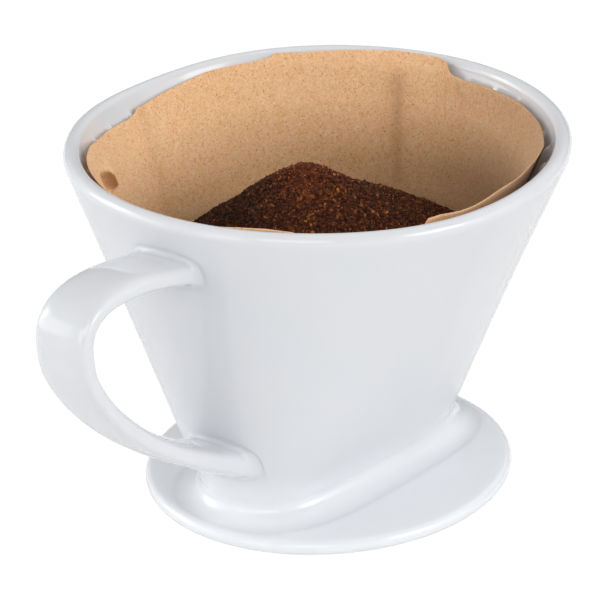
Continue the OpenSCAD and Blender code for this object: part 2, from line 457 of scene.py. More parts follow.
# -------------------------------------------------------------------- handle
# A flat strap swept along two joined Bezier curves in the XZ plane
ROOT_TOP_Z, ROOT_LOW_Z = 78.80075, 21.32125
ROOT_SINK = 1.4                     # how far the path's ends lie inside the wall
FAR_X, FAR_Z = -96.5885, 69.375     # the point furthest from the cone
TOP_ANGLE, LOW_ANGLE = math.radians(15.5), math.radians(24.16)
TOP_PULL, LOW_PULL = 46.25, 45.4    # Bezier handle lengths at the roots
FAR_PULL_UP, FAR_PULL_DOWN = 3.82, 5.67
STRAP_RINGS, STRAP_SIDES = 150, 72
# widths and thicknesses at fractions of the strap's length
WIDTHS = ([0, .07, .25, .5, .75, .92, 1],
          [17.76, 16.5575, 15.6325, 15.6325, 15.725, 16.3725, 18.13])
THICKS = ([0, .08, .3, .5, .7, .9, 1], [5.92, 5.4575, 4.9025, 4.625, 4.9025, 5.735, 6.66])
SQUARENESS = 0.56                   # the section's exponent; 1 would be an ellipse


def wall_gap(points):
    """Distance in plan from the outside wall, positive outside."""
    half, radius = half_length(points[:, 2]), end_radius(points[:, 2])
    twist = FOOT_TWIST * half / FOOT_HALF
    off_x = points[:, 0] - FOOT_SHIFT * half / FOOT_HALF
    x = off_x * np.cos(twist) + points[:, 1] * np.sin(twist)
    y = points[:, 1] * np.cos(twist) - off_x * np.sin(twist)
    return np.hypot(np.maximum(np.abs(x) - half, 0), y) - radius


def wall_normal(points, step=0.05):
    slopes = [(wall_gap(points + axis * step) - wall_gap(points - axis * step)) / (2 * step)
              for axis in np.eye(3)]
    normal = np.stack(slopes, -1)
    return normal / np.linalg.norm(normal, axis=1)[:, None]


def to_wall(points):
    for _ in range(6):
        points = points - wall_normal(points) * wall_gap(points)[:, None] * 0.97
    return points


def bezier(c, t):
    t = t[:, None]
    return ((1 - t) ** 3 * c[0] + 3 * (1 - t) ** 2 * t * c[1] + 3 * (1 - t) * t * t * c[2]
            + t ** 3 * c[3])


def handle_path():
    """Evenly spaced x, z points from the upper root to the lower one."""
    def root_point(z):
        return np.array([-(half_length(z) + end_radius(z)) + ROOT_SINK, z])

    def pull(angle):
        return np.array([-math.cos(angle), math.sin(angle)])

    top, low, far = root_point(ROOT_TOP_Z), root_point(ROOT_LOW_Z), np.array([FAR_X, FAR_Z])
    upper = [top, top + TOP_PULL * pull(TOP_ANGLE), far + [0, FAR_PULL_UP], far]
    lower = [far, far - [0, FAR_PULL_DOWN], low + LOW_PULL * pull(LOW_ANGLE), low]
    t = np.linspace(0, 1, 400)
    path = np.vstack([bezier(upper, t), bezier(lower, t)[1:]])
    relax(path, 60)                 # softens the joint at the furthest point
    run = run_length(path)
    even = np.linspace(0, 1, STRAP_RINGS) * run[-1]
    return np.stack([np.interp(even, run, path[:, i]) for i in (0, 1)], -1)


def strap_section():
    """Offsets across and through the strap, -1 to 1, spaced evenly round the section."""
    count = 4001
    fine = np.linspace(0, 2 * np.pi, count)
    shape = np.sign(unit(fine)) * np.abs(unit(fine)) ** SQUARENESS
    run = run_length(shape * [8, 2.6])
    at = np.interp(np.linspace(0, run[-1], STRAP_SIDES, endpoint=False), run, np.arange(count))
    return [np.interp(at, np.arange(count), shape[:, i]) for i in (0, 1)]


def root_rings(section, direction, lead, spread):
    """Rings from a section of the strap into the wall along direction, with a fillet.

    Returns them, the ring where the fillet starts and the wall's normals where it ends.
    """
    near, far = np.full(STRAP_SIDES, -20.0), np.full(STRAP_SIDES, 20.0)
    for _ in range(50):
        middle = (near + far) / 2
        gap = wall_gap(section + middle[:, None] * direction)
        far = np.where(gap < 0, middle, far)
        near = np.where(gap < 0, near, middle)
    contact = section + near[:, None] * direction
    centre = contact.mean(0)
    normal = wall_normal(contact)
    away = contact - centre
    away = away - (away * normal).sum(1)[:, None] * normal
    # outward direction round the section, in the wall
    out = np.cross(np.roll(contact, -1, 0) - np.roll(contact, 1, 0), normal)
    out *= np.sign((out * away).sum(1))[:, None]
    out /= np.linalg.norm(out, axis=1)[:, None]
    out = out * 0.7 + 0.3 * away / np.linalg.norm(away, axis=1)[:, None]
    out /= np.linalg.norm(out, axis=1)[:, None]
    end = to_wall(contact + out * spread)
    end_normal = wall_normal(end)
    start = contact - direction * lead
    rings = [(1 - t) ** 2 * start + 2 * (1 - t) * t * contact + t * t * (end + end_normal * 0.012)
             for t in np.linspace(0, 1, 14)]
    # two more rings close the root off inside the wall
    rings.append(end - end_normal * 0.5 - out * 0.1)
    rings.append(centre + (end - centre) * 0.6 - normal * 1.6)
    return rings, start, end_normal


def build_handle():
    path = handle_path()
    tangent = np.gradient(path, axis=0)
    tangent /= np.linalg.norm(tangent, axis=1)[:, None]
    outward = np.stack([tangent[:, 1], -tangent[:, 0]], -1)   # away from the loop's inside
    along = np.linspace(0, 1, STRAP_RINGS)
    width, thick = np.interp(along, *WIDTHS), np.interp(along, *THICKS)
    relax(width, 30)
    relax(thick, 30)
    across, through = strap_section()
    # the face towards the cone is a little crowned, the outer one nearly flat
    crown = np.where(through < 0, 0.10, 0.04) * (1 - across ** 2) * np.sign(through)
    strap = []
    for (x, z), (out_x, out_z), w, t in zip(path, outward, width, thick):
        off = t / 2 * (through + crown)
        strap.append(np.column_stack([x + out_x * off, across * w / 2, z + out_z * off]))

    top_dir = np.array([-tangent[0, 0], 0, -tangent[0, 1]])
    low_dir = np.array([tangent[-1, 0], 0, tangent[-1, 1]])
    top_rings, top_start, top_normal = root_rings(strap[0], top_dir, lead=2.9, spread=2.0)
    low_rings, low_start, low_normal = root_rings(strap[-1], low_dir, lead=3.2, spread=2.3)

    def clear(ring, start, direction):
        return ((start - ring) @ direction).min() > 0.6

    # only strap rings that are clear of the fillets stay
    kept = [ring for i, ring in enumerate(strap)
            if (i > STRAP_RINGS // 3 or clear(ring, top_start, top_dir))
            and (i < 2 * STRAP_RINGS // 3 or clear(ring, low_start, low_dir))]
    grid = np.array(top_rings[::-1] + kept + low_rings)

    def with_tips(values):
        return np.vstack([values.reshape(-1, 3), values[0].mean(0)[None], values[-1].mean(0)[None]])

    ob = add_mesh("handle_glazed", with_tips(grid), capped_faces(len(grid), STRAP_SIDES))
    turn_faces_out(ob)
    # the landings take the wall's own normals, so the joint doesn't show as an edge
    normals = -grid_normals(grid)
    normals[2], normals[-3] = top_normal, low_normal
    for k in (3, 4):
        w = (5 - k) / 4
        normals[k] = normals[k] * (1 - w) + top_normal * w
        normals[-1 - k] = normals[-1 - k] * (1 - w) + low_normal * w
    normals = with_tips(normals)
    set_normals(ob, normals / np.linalg.norm(normals, axis=1)[:, None])
    return ob


# ---------------------------------------------------------------- the paper
# Top edge of the paper: plan angle in degrees and height, all the way round
EDGE = np.array([
    (-180, 91.2), (-168, 91.6), (-161, 92.2), (-155, 92.1), (-149, 91.2), (-143, 89.6),
    (-136, 88.6), (-128, 88.4), (-120, 88.3), (-116.0, 88.5), (-115.2, 91.1), (-112, 91.4),
    (-110, 91.1), (-108, 90.75), (-106, 90.4), (-102, 90.4), (-98, 91.0), (-95, 91.5),
    (-92, 91.65), (-88, 91.4), (-84, 91.0), (-80, 90.8), (-74, 91.0), (-68, 91.2), (-63, 91.2),
    (-58, 90.35), (-54, 89.85), (-48, 89.8), (-40, 89.75), (-30, 90.1), (-22, 89.8), (-14, 89.7),
    (-8, 89.4), (-4, 89.8), (-1.2, 89.85), (-0.5, 90.4), (0.4, 91.8), (1.6, 92.6), (3.2, 92.9),
    (6.2, 92.85), (9, 92.8), (12, 92.65), (18, 92.62), (22, 92.65), (28, 92.5), (34, 92.1),
    (40, 91.95), (47.4, 92.15), (48.4, 92.0), (49.3, 91.3), (51, 91.0), (55, 90.65), (64, 90.6),
    (72, 90.0), (80, 89.2), (87.9, 88.75), (92.6, 88.65), (93.3, 88.2), (94.2, 87.7), (98, 87.15),
    (104, 87.7), (108, 88.03), (112, 88.25), (116, 88.75), (120, 89.45), (124, 90.35),
    (130, 90.85), (136, 91.3), (142, 91.2), (150, 90.6), (160, 90.3), (170, 90.8), (180, 91.2)])
# Extra density of points near the steps and folds: plan angle, width, density
DENSE = ((0.3, 2.2, 5), (48.6, 1.6, 5), (93.8, 1.6, 4), (-115.5, 1.2, 6), (124, 6.5, 4.5),
         (11, 5, 2.5))
PAPER_Z = FLANGE_H + 1.35
PAPER_T = 0.24
PAPER_ROWS, PAPER_COLS = 100, 800
PAPER_GAP, PAPER_MIN_GAP = 1.60, 1.61   # from the wall between the ribs
FLAT_DEG = 18.6                         # the soft step on the +X side
# Where the sheet stands off the wall or hugs it near the mouth: plan angle, width, distance
STAND_OFFS = ((-72, 26, 1.5), (-28, 14, 0.8), (78, 10, -0.5))


def pinch(deg, z):
    """How far past the fold's crest, in degrees, and how strong the fold is at this height."""
    return deg - (126.6 + 0.25 * (z - 83)), rise(z, 79.0, 2.4) * fall(z, 83.6, 2.6)


def seam_deg(z):
    """The crimped side seam runs down and round from the notch at the +Y side."""
    return 92.9 + (88.5 - z) * 0.13


def paper_inside(theta, z):
    """Inside face of the paper: x, y at a normal angle and a height."""
    deg = wrap(np.degrees(theta))
    s = np.clip((z - FLANGE_H) / (RIM_H - FLANGE_H), 0, 1)
    high = rise(z, 60, 30.0)
    # broad waves, stronger near the open edge
    swell = high * (0.55 * np.cos(np.radians(deg * 3 + 40))
                    + 0.30 * np.cos(np.radians(deg * 5 - 70 + z * 0.8))
                    + 0.16 * np.cos(np.radians(deg * 9 + 10)))
    # a soft step where the bag was pressed flat
    swell += rise(z, 48, 30.0) * (
        1.15 * rise(deg, FLAT_DEG - 2.6, 5.2) * fall(deg, FLAT_DEG + 4, 26.0)
        - 0.45 * bell(deg, FLAT_DEG - 4.5, 3.2))
    # the lap that ends in the step of the top edge
    swell += (0.34 * rise(deg, -0.6 - (90 - z) * 0.10, 0.9) * fall(deg, 6, 18.0)
              * rise(z, 70, 16.0))
    swell += 0.55 * bell(deg, -5.5, 3.2) * bell(z, 87.5, 4.0)
    seam = seam_deg(z)
    swell += rise(z, 52, 14.0) * (0.30 * bell(deg, seam - 2.2, 1.1)
                                  - 0.85 * rise(deg, seam - 0.8, 1.6) * fall(deg, seam + 2, 14.0))
    swell += bells(deg, STAND_OFFS) * high
    # a pinched fold between -X and +Y: the sheet swells off the wall, then drops into a hollow
    past, strength = pinch(deg, z)
    swell += 1.1 * bell(deg, 129, 10.0) * bell(z, 83, 7.0)
    swell += strength * (2.3 * np.where(past < 0, bell(past, 0, 8.5), fall(past, 0, 1.7))
                         - 1.7 * rise(past, 0, 1.7) * fall(past, 2.5, 5.0))
    gap = np.maximum(PAPER_GAP + 4.6 * (1 - s) ** 3 + swell, PAPER_MIN_GAP)
    inset = end_radius(z) - wall_across(z, theta) - 1.0 - gap
    return oval(half_length(z), 1.0, theta) + unit(theta) * inset[:, None]


def paper_sheet():
    """Rings of the paper's inside face from the bottom up, and their normal angles."""
    even = np.linspace(-np.pi, np.pi, PAPER_COLS, endpoint=False)
    count = np.concatenate([[0], np.cumsum(1 + bells(np.degrees(even), DENSE))])
    theta = np.interp(np.linspace(0, count[-1], PAPER_COLS, endpoint=False), count,
                      np.concatenate([even, [np.pi]]))
    deg = np.degrees(theta)
    edge = (np.interp(deg, EDGE[:, 0], EDGE[:, 1])
            + 0.10 * np.sin(np.radians(deg * 7 + 20)) + 0.05 * np.sin(np.radians(deg * 23)))
    rings = []
    for i in range(PAPER_ROWS):
        z = PAPER_Z + (edge - PAPER_Z) * (i / (PAPER_ROWS - 1)) ** 0.72
        rings.append(np.column_stack([paper_inside(theta, z), z]))
    return np.array(rings), theta


def painted_fold_shade(deg, z):
    """How much painted shade the paper's folds and creases get, 0 to 1."""
    past, strength = pinch(deg, z)
    shade = (0.88 * rise(strength, 0.15, 0.7) * rise(past, -0.10, 0.30)
             * (1 - 0.80 * rise(past, 0.35, 1.5)) * fall(past, 2.5, 3.5))
    # painted shade along the creases where the bag was pressed flat, thin and soft
    shade += ((0.25 * bell(deg, 15.2, 2.0 + 0.5 * np.sin(z * 0.55)) + 0.13 * bell(deg, 16.0, 5.5))
              * rise(z, 54, 10.0) * fall(z, 85, 5.0))
    # painted shade along the side seam and on a small fold near the step in the top edge
    shade += 0.13 * bell(deg, seam_deg(z) - 1.0, 1.5) * rise(z, 58, 10.0)
    shade += 0.30 * bell(deg, (z - 89.25) * 0.87 - 3.25, 0.8) * bell(z, 87.4, 2.4)
    return np.clip(shade, 0, 1)


def build_paper():
    inner, theta = paper_sheet()
    outer = inner + grid_normals(inner) * PAPER_T
    outer[0, :, 2] = inner[0, :, 2]
    rows, cols = inner.shape[:2]
    verts = np.vstack([outer.reshape(-1, 3), inner[::-1].reshape(-1, 3)])
    faces = grid_faces(2 * rows, cols)
    # bottom: two caps a paper's thickness apart, narrowed along Y towards the middle
    for base, start, drop, flip in ((outer[0], 0, PAPER_T, True),
                                    (inner[0], (2 * rows - 1) * cols, 0.0, False)):
        for narrow, lift in ((0.72, 0.0), (0.40, 0.35)):
            ring = np.column_stack([base[:, 0] * (1 - (1 - narrow) * 0.55), base[:, 1] * narrow,
                                    base[:, 2] - drop + lift])
            new = len(verts)
            verts = np.vstack([verts, ring])
            for j in range(cols):
                after = (j + 1) % cols
                quad = [start + j, start + after, new + after, new + j]
                faces.append(quad[::-1] if flip else quad)
            start = new
        centre = len(verts)
        verts = np.vstack([verts, ring.mean(0)[None]])
        for j in range(cols):
            fan = [start + j, start + (j + 1) % cols, centre]
            faces.append(fan[::-1] if flip else fan)
    ob = add_mesh("paper_filter_sheet", verts, faces)
    turn_faces_out(ob)
    # painted shade of the folds and creases, kept on the points
    shade = painted_fold_shade(wrap(np.degrees(theta))[None, :], inner[..., 2])
    painted_fold_shadow = np.zeros(len(verts))
    painted_fold_shadow[:2 * rows * cols] = np.concatenate([shade, shade[::-1]]).ravel()
    point_attribute(ob, "painted_fold_shadow", painted_fold_shadow)
    return ob


# --------------------------------------------------------------- the coffee
PEAK = np.array([-2.2, 2.6])
PEAK_Z = 84.2
PEAK_ROUND = 3.2                    # how blunt the peak is
BED_GAP = 0.45                      # between the coffee and the paper
BED_SINK = 0.25                     # the bed lies this far under the grains' surface


def bed_radius(angles, heights):
    """Distance from the axis to the coffee's side, by plan angle and height."""
    theta = np.linspace(-np.pi, np.pi, 361)
    radii = []
    for angle, z in zip(angles, heights):
        points = paper_inside(theta, np.full_like(theta, z))
        plan = np.arctan2(points[:, 1], points[:, 0])
        order = np.argsort(plan)
        rho = np.hypot(points[order, 0], points[order, 1])
        radii.append(np.interp(angle, plan[order], rho, period=2 * np.pi))
    return np.array(radii) - BED_GAP


def lumps(x, y, size, seed):
    """A random sum of plane waves about size long."""
    rng = np.random.default_rng(seed)
    count = 14
    total = np.zeros_like(x)
    for _ in range(count):
        angle, phase = rng.uniform(0, 2 * np.pi), rng.uniform(0, 2 * np.pi)
        pace = 2 * np.pi / (size * rng.uniform(0.6, 1.6))
        total += np.sin((x * math.cos(angle) + y * math.sin(angle)) * pace + phase)
    return total / count ** 0.5


def heap(x, y):
    """Height of the heap; it falls less steeply towards the view's right."""
    dx, dy = x - PEAK[0], y - PEAK[1]
    rightward = dx * VIEW_RIGHT[0] + dy * VIEW_RIGHT[1]
    dist = np.hypot(dx, dy)
    slope = 0.655 - 0.065 * np.where(dist > 1e-6, rightward / np.maximum(dist, 1e-6), 0)
    z = PEAK_Z - slope * (np.sqrt(dist * dist + PEAK_ROUND ** 2) - PEAK_ROUND)
    return z + 0.5 * lumps(x, y, 26, 3) * smooth(dist / 14) + 0.22 * lumps(x, y, 7, 4)


def build_coffee():
    """The solid bed; also returns the plan angles and radii where it meets the paper."""
    angles = np.linspace(0, 2 * np.pi, 360, endpoint=False)
    cos, sin = np.cos(angles), np.sin(angles)
    radii = np.full(len(angles), 40.0)
    for _ in range(40):
        want = bed_radius(angles, heap(radii * cos, radii * sin))
        radii = radii * 0.5 + want * 0.5
        if np.abs(want - radii).max() < 0.02:
            break
    rings = []
    # below the surface: follow the paper
    edge_z = heap(radii * cos, radii * sin)
    bottom = PAPER_Z + 0.9
    for s in np.linspace(0, 1, 16)[:-1]:
        z = bottom + (edge_z - bottom) * s
        side = bed_radius(angles, z)
        rings.append(np.column_stack([side * cos, side * sin, z]))
    # the heap's surface, from the paper to the peak
    for k in np.linspace(1, 0, 130)[:-1]:
        x, y = PEAK[0] + (radii * cos - PEAK[0]) * k, PEAK[1] + (radii * sin - PEAK[1]) * k
        rings.append(np.column_stack([x, y, heap(x, y) - BED_SINK]))
    tips = [[0, 0, bottom], [*PEAK, float(heap(*PEAK)) - BED_SINK]]
    verts = np.vstack([np.array(rings).reshape(-1, 3), tips])
    ob = add_mesh("coffee_bed", verts, capped_faces(len(rings), len(angles)))
    turn_faces_out(ob)
    return ob, angles, radii


def icosphere():
    bm = bmesh.new()
    bmesh.ops.create_icosphere(bm, subdivisions=1, radius=1.0)
    verts = np.array([v.co for v in bm.verts])
    faces = np.array([[v.index for v in face.verts] for face in bm.faces])
    bm.free()
    return verts, faces


def random_turns(rng, count):
    """Rotation matrices from random quaternions."""
    q = rng.normal(size=(count, 4))
    w, x, y, z = (q / np.linalg.norm(q, axis=1)[:, None]).T
    rows = ((1 - 2 * (y ** 2 + z ** 2), 2 * (x * y - z * w), 2 * (x * z + y * w)),
            (2 * (x * y + z * w), 1 - 2 * (x ** 2 + z ** 2), 2 * (y * z - x * w)),
            (2 * (x * z - y * w), 2 * (y * z + x * w), 1 - 2 * (x ** 2 + y ** 2)))
    return np.stack([np.stack(row, -1) for row in rows], 1)


def build_grains(name, count, seed, outline, size, spread, lift):
    """Loose grains over the heap: size is their middle radius and spread its variation."""
    rng = np.random.default_rng(seed)
    ball, ball_faces = icosphere()
    places = []
    while len(places) < count:
        x, y = rng.uniform(-50, 50, count * 2), rng.uniform(-50, 50, count * 2)
        limit = np.interp(np.arctan2(y, x), *outline, period=2 * np.pi)
        inside = np.hypot(x, y) < limit - 0.35
        places += list(zip(x[inside], y[inside]))
    x, y = np.array(places[:count]).T
    z = heap(x, y) + rng.uniform(-0.30, lift, count)
    radius = np.clip(size * np.exp(rng.normal(0, spread, count)), 0.16, 0.85)
    turns = random_turns(rng, count)
    scale = np.stack([rng.uniform(lo, hi, count)
                      for lo, hi in ((0.8, 1.35), (0.6, 1.0), (0.5, 0.9))], -1)
    rough = 1 + rng.uniform(-0.28, 0.28, (count, len(ball), 1))
    local = ball[None] * rough * scale[:, None] * radius[:, None, None]
    verts = np.einsum("nij,nkj->nki", turns, local) + np.stack([x, y, z], -1)[:, None]
    faces = (ball_faces[None] + (np.arange(count) * len(ball))[:, None, None]).reshape(-1, 3)
    ob = add_mesh(name, verts.reshape(-1, 3), faces.tolist(), smooth_faces=False)
    point_attribute(ob, "tone", np.repeat(rng.random(count), len(ball)))
    return ob


# ----------------------------------------------------------------- materials
BLACK, WHITE = (0, 0, 0), (1, 1, 1)


class Graph:
    """Adds nodes to a node tree; an input takes a plain value or another node's output."""

    def __init__(self, tree):
        self.tree = tree

    def feed(self, socket, value):
        if isinstance(value, bpy.types.NodeSocket):
            self.tree.links.new(value, socket)
        else:
            socket.default_value = value

    def set(self, node, inputs):
        for key, value in inputs.items():
            self.feed(node.inputs[key], value)

    def node(self, kind, inputs=None, **settings):
        node = self.tree.nodes.new("ShaderNode" + kind)
        for key, value in settings.items():
            setattr(node, key, value)
        self.set(node, inputs or {})
        return node

    def noise(self, scale, detail=3.0, roughness=0.5, distortion=0.0):
        return self.node("TexNoise", {"Vector": self.coord, "Scale": scale, "Detail": detail,
                                      "Roughness": roughness,
                                      "Distortion": distortion}).outputs["Fac"]

    def voronoi(self, scale):
        return self.node("TexVoronoi", {"Vector": self.coord, "Scale": scale}).outputs

    def cell_value(self, voronoi):
        """One random number for each cell."""
        return self.node("SeparateColor", {0: voronoi["Color"]}).outputs[0]

    def height(self):
        return self.node("SeparateXYZ", {0: self.coord}).outputs["Z"]

    def dot(self, vector, direction):
        return self.node("VectorMath", {0: vector, 1: direction},
                         operation="DOT_PRODUCT").outputs["Value"]

    def rightward(self):
        """Distance towards the view's right."""
        return self.dot(self.coord, (*VIEW_RIGHT, 0))

    def ramp(self, fac, stops):
        node = self.node("ValToRGB", {0: fac})
        elements = node.color_ramp.elements
        while len(elements) < len(stops):
            elements.new(0.5)
        for element, (position, colour) in zip(elements, stops):
            element.position = position
            element.color = (*colour, 1)
        return node.outputs[0]

    def mix(self, fac, a, b, mode="MIX"):
        return self.node("Mix", {0: fac, 6: a, 7: b}, data_type="RGBA",
                         blend_type=mode).outputs[2]

    def calc(self, operation, *values):
        return self.node("Math", dict(enumerate(values)), operation=operation).outputs[0]

    def times(self, a, b):
        return self.calc("MULTIPLY", a, b)

    def jitter(self, value, noise, amount):
        return self.calc("ADD", value, self.times(self.calc("SUBTRACT", noise, 0.5), amount))

    def between(self, value, start, end, interpolation="SMOOTHSTEP", to=(0.0, 1.0)):
        """The first of to at start, the second at end."""
        return self.node("MapRange", {"Value": value, "From Min": start, "From Max": end,
                                      "To Min": to[0], "To Max": to[1]},
                         interpolation_type=interpolation).outputs[0]

    def bump(self, height, strength, distance, normal=None):
        node = self.node("Bump", {"Strength": strength, "Distance": distance, "Height": height})
        if normal is not None:
            self.feed(node.inputs["Normal"], normal)
        return node.outputs[0]

    def mix_shader(self, fac, a, b):
        return self.node("MixShader", {0: fac, 1: a.outputs[0], 2: b.outputs[0]}).outputs[0]

    def camera_ray(self):
        return self.node("LightPath").outputs["Is Camera Ray"]


def new_material(name):
    material = bpy.data.materials.new(name)
    material.use_nodes = True
    graph = Graph(material.node_tree)
    graph.tree.nodes.clear()
    surface = graph.node("BsdfPrincipled")
    graph.output = graph.node("OutputMaterial", {0: surface.outputs[0]})
    graph.coord = graph.node("TexCoord").outputs["Object"]
    return material, graph, surface


def glaze(name, foot=False):
    """Glossy porcelain glaze; with foot, the bottom of the ring is bare clay."""
    material, g, surface = new_material(name)
    big = g.noise(scale=26.0, detail=2.0)
    mid = g.noise(scale=120.0, roughness=0.55)
    fine = g.noise(scale=900.0, detail=2.0)
    base = g.ramp(big, [(0.30, (0.676, 0.694, 0.722)), (0.70, (0.698, 0.703, 0.733))])
    # glaze runs thin on edges, where the warmer body shows, and pools in hollows
    edges = g.ramp(g.node("NewGeometry").outputs["Pointiness"],
                   [(0.44, (0.630, 0.680, 0.700)), (0.50, (0.694, 0.704, 0.731)),
                    (0.56, (0.730, 0.728, 0.740))])
    colour = g.mix(0.35, base, edges)
    # painted light: the glaze is made whiter low down, at the foot and on the flange, standing in for
    # light that reaches them
    run = g.between(g.jitter(g.height(), big, amount=0.012), start=0.018, end=0.006)
    colour = g.mix(run, colour, (0.785, 0.800, 0.828, 1))
    specks = g.ramp(g.voronoi(scale=240.0)["Distance"], [(0.0, WHITE), (0.03, BLACK)])
    colour = g.mix(g.times(specks, 0.10), colour, (0.55, 0.54, 0.52, 1))
    rough = g.ramp(mid, [(0.3, (0.050,) * 3), (0.7, (0.085,) * 3)])
    if foot:
        # bare clay where the ring stands in the kiln
        bare = g.between(g.jitter(g.height(), mid, amount=0.0006), start=(RING_Z + 0.75) * MM,
                         end=(RING_Z + 0.55) * MM, interpolation="LINEAR")
        clay = g.ramp(fine, [(0.3, (0.72, 0.69, 0.64)), (0.7, (0.80, 0.78, 0.73))])
        colour = g.mix(bare, colour, clay)
        rough = g.mix(bare, rough, (0.75, 0.75, 0.75, 1))
    normal = g.bump(big, strength=0.12, distance=0.0012)
    normal = g.bump(mid, strength=0.06, distance=0.00025, normal=normal)
    normal = g.bump(fine, strength=0.03, distance=0.00003, normal=normal)
    g.set(surface, {
        "Base Color": colour, "Roughness": rough, "Normal": normal, "IOR": 1.5,
        "Subsurface Weight": 0.12, "Subsurface Radius": (0.0035, 0.0032, 0.0030),
        "Subsurface Scale": 1.0, "Coat Weight": 0.45, "Coat Roughness": 0.04})
    return material


# Dark flecks of bark and single grains of dust: voronoi scale, radii where a fleck starts to
# fade and ends, the cell value above which a cell has one, strength, colour
FLECKS = ((640.0, 0.08, 0.15, 0.93, 0.70, (0.300, 0.100, 0.028, 1)),
          (1000.0, 0.12, 0.22, 0.91, 0.65, (0.260, 0.090, 0.026, 1)),
          (1700.0, 0.22, 0.36, 0.84, 0.60, (0.420, 0.165, 0.050, 1)))


def paper_material():
    """Unbleached filter paper, dusted with coffee near the heap, with painted shade low down, towards
    the view's right and in its folds.
    """
    material, g, surface = new_material("filter_paper")
    cloud = g.noise(scale=70.0, detail=4.0, roughness=0.6)
    mottle = g.noise(scale=420.0, detail=4.0, roughness=0.65)
    long_fibre = g.noise(scale=1150.0, detail=5.0, roughness=0.68, distortion=1.6)
    short_fibre = g.noise(scale=2600.0, detail=3.0, roughness=0.6, distortion=2.4)
    fibre = g.calc("ADD", g.times(long_fibre, 0.55), g.times(short_fibre, 0.45))
    colour = g.ramp(cloud, [(0.30, (0.925, 0.530, 0.255)), (0.52, (0.975, 0.592, 0.312)),
                            (0.72, (1.0, 0.655, 0.370))])
    mottled = g.ramp(mottle, [(0.34, (0.870, 0.460, 0.200)), (0.50, (0.975, 0.592, 0.312)),
                              (0.66, (1.0, 0.715, 0.435))])
    colour = g.mix(0.40, colour, mottled)
    fibrous = g.ramp(fibre, [(0.37, (0.480, 0.215, 0.080)), (0.45, (0.880, 0.490, 0.220)),
                             (0.51, (1.0, 0.615, 0.325)), (0.59, (1.0, 0.860, 0.650))])
    colour = g.mix(0.58, colour, fibrous)
    # coffee dust and painted shade: the lower, the more flecks of dust and the darker the sheet
    dust_and_painted_shade = g.between(g.height(), start=0.081, end=0.066, interpolation="LINEAR")
    for scale, solid, end, limit, strength, tint in FLECKS:
        cells = g.voronoi(scale)
        fleck = g.ramp(cells["Distance"], [(0.0, WHITE), (solid, WHITE), (end, BLACK)])
        chance = g.calc("ADD", g.cell_value(cells), g.times(dust_and_painted_shade, 0.17))
        rare = g.ramp(chance, [(limit, BLACK), (limit + 0.03, WHITE)])
        colour = g.mix(g.times(g.times(fleck, rare), strength), colour, tint)
    # painted shade: the sheet darkens towards the heap, standing in for the shade and dark bounce
    # light near the coffee
    colour = g.mix(g.times(dust_and_painted_shade, 0.80), colour, (0.56, 0.51, 0.45, 1), mode="MULTIPLY")
    # painted shade: the sheet is darker towards the view's right, where it turns away from the light,
    # and more so low down
    painted_shade_right = g.between(g.rightward(), start=0.018, end=0.058)
    amount = g.times(painted_shade_right, g.calc("ADD", g.times(dust_and_painted_shade, 0.42), 0.48))
    colour = g.mix(amount, colour, (0.19, 0.14, 0.12, 1), mode="MULTIPLY")
    # painted shade: the hollow of the pinched fold and the creases are painted dark, as their shadow
    painted_fold_shadow = g.node("Attribute", attribute_name="painted_fold_shadow").outputs["Fac"]
    colour = g.mix(painted_fold_shadow, colour, (0.30, 0.115, 0.032, 1))
    normal = g.bump(mottle, strength=0.35, distance=0.00016)
    normal = g.bump(fibre, strength=0.60, distance=0.00016, normal=normal)
    g.set(surface, {"Base Color": colour, "Roughness": 0.86, "Specular IOR Level": 0.25,
                    "Sheen Weight": 0.12, "Sheen Roughness": 0.5, "Normal": normal})
    # light comes through the sheet a little
    glow = g.mix(0.5, colour, (0.75, 0.40, 0.18, 1))
    through = g.node("BsdfTranslucent", {"Color": glow, "Normal": normal})
    g.feed(g.output.inputs[0], g.mix_shader(0.14, surface, through))
    return material


def coffee_material(name, grain):
    """Ground coffee; grains take their tone from an attribute, the bed from cells."""
    material, g, surface = new_material(name)
    fine = g.noise(scale=2600.0, roughness=0.6)
    if grain:
        tone = g.node("Attribute", attribute_name="tone").outputs["Fac"]
    else:
        tone = g.cell_value(g.voronoi(scale=1100.0))
    colour = g.ramp(tone, [(0.0, (0.022, 0.006, 0.003)), (0.35, (0.060, 0.015, 0.0050)),
                           (0.70, (0.125, 0.032, 0.009)), (0.90, (0.190, 0.056, 0.015)),
                           (0.975, (0.32, 0.100, 0.026)), (1.0, (0.56, 0.215, 0.060))])
    colour = g.mix(g.times(fine, 0.45), colour, (0.018, 0.008, 0.005, 1))
    # painted shade darkens the flank at the view's left, and painted light makes the crest a little
    # paler
    painted_shade_left = g.between(g.rightward(), start=-0.004, end=-0.024)
    colour = g.mix(g.times(painted_shade_left, 0.52), colour, (0, 0, 0, 1))
    # painted light: the top of the heap is made paler, as the light falls on it
    crest = g.between(g.height(), start=(PEAK_Z - 7) * MM, end=(PEAK_Z - 0.5) * MM)
    colour = g.mix(g.times(crest, 0.9), colour, (1.6, 1.45, 1.3, 1), mode="MULTIPLY")
    g.set(surface, {"Base Color": colour, "Roughness": 0.62, "Specular IOR Level": 0.16,
                    "Normal": g.bump(fine, strength=0.5, distance=0.0001)})
    return material


# --------------------------------------------------------------------- build
def fit(ob, material, part, node=None):
    """Give a piece its material and tell the frame which part it belongs to."""
    ob.data.materials.append(material)
    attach(ob, part)
    if node:
        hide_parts(node)


glazed, glazed_foot = glaze("porcelain_glaze"), glaze("porcelain_foot_glaze", foot=True)
pieces = [build() for build in (build_cone, build_flange, build_ring, build_handle)]
for piece, node_name, glaze_used, slot_name in zip(
        pieces, ("cone_body", "saucer_flange", "locating_ring", "handle"),
        (glazed, glazed, glazed_foot, glazed),
        ("porcelain", "porcelain", "porcelain_foot", "porcelain")):
    fit(piece, glaze_used, "dripper", node_name)

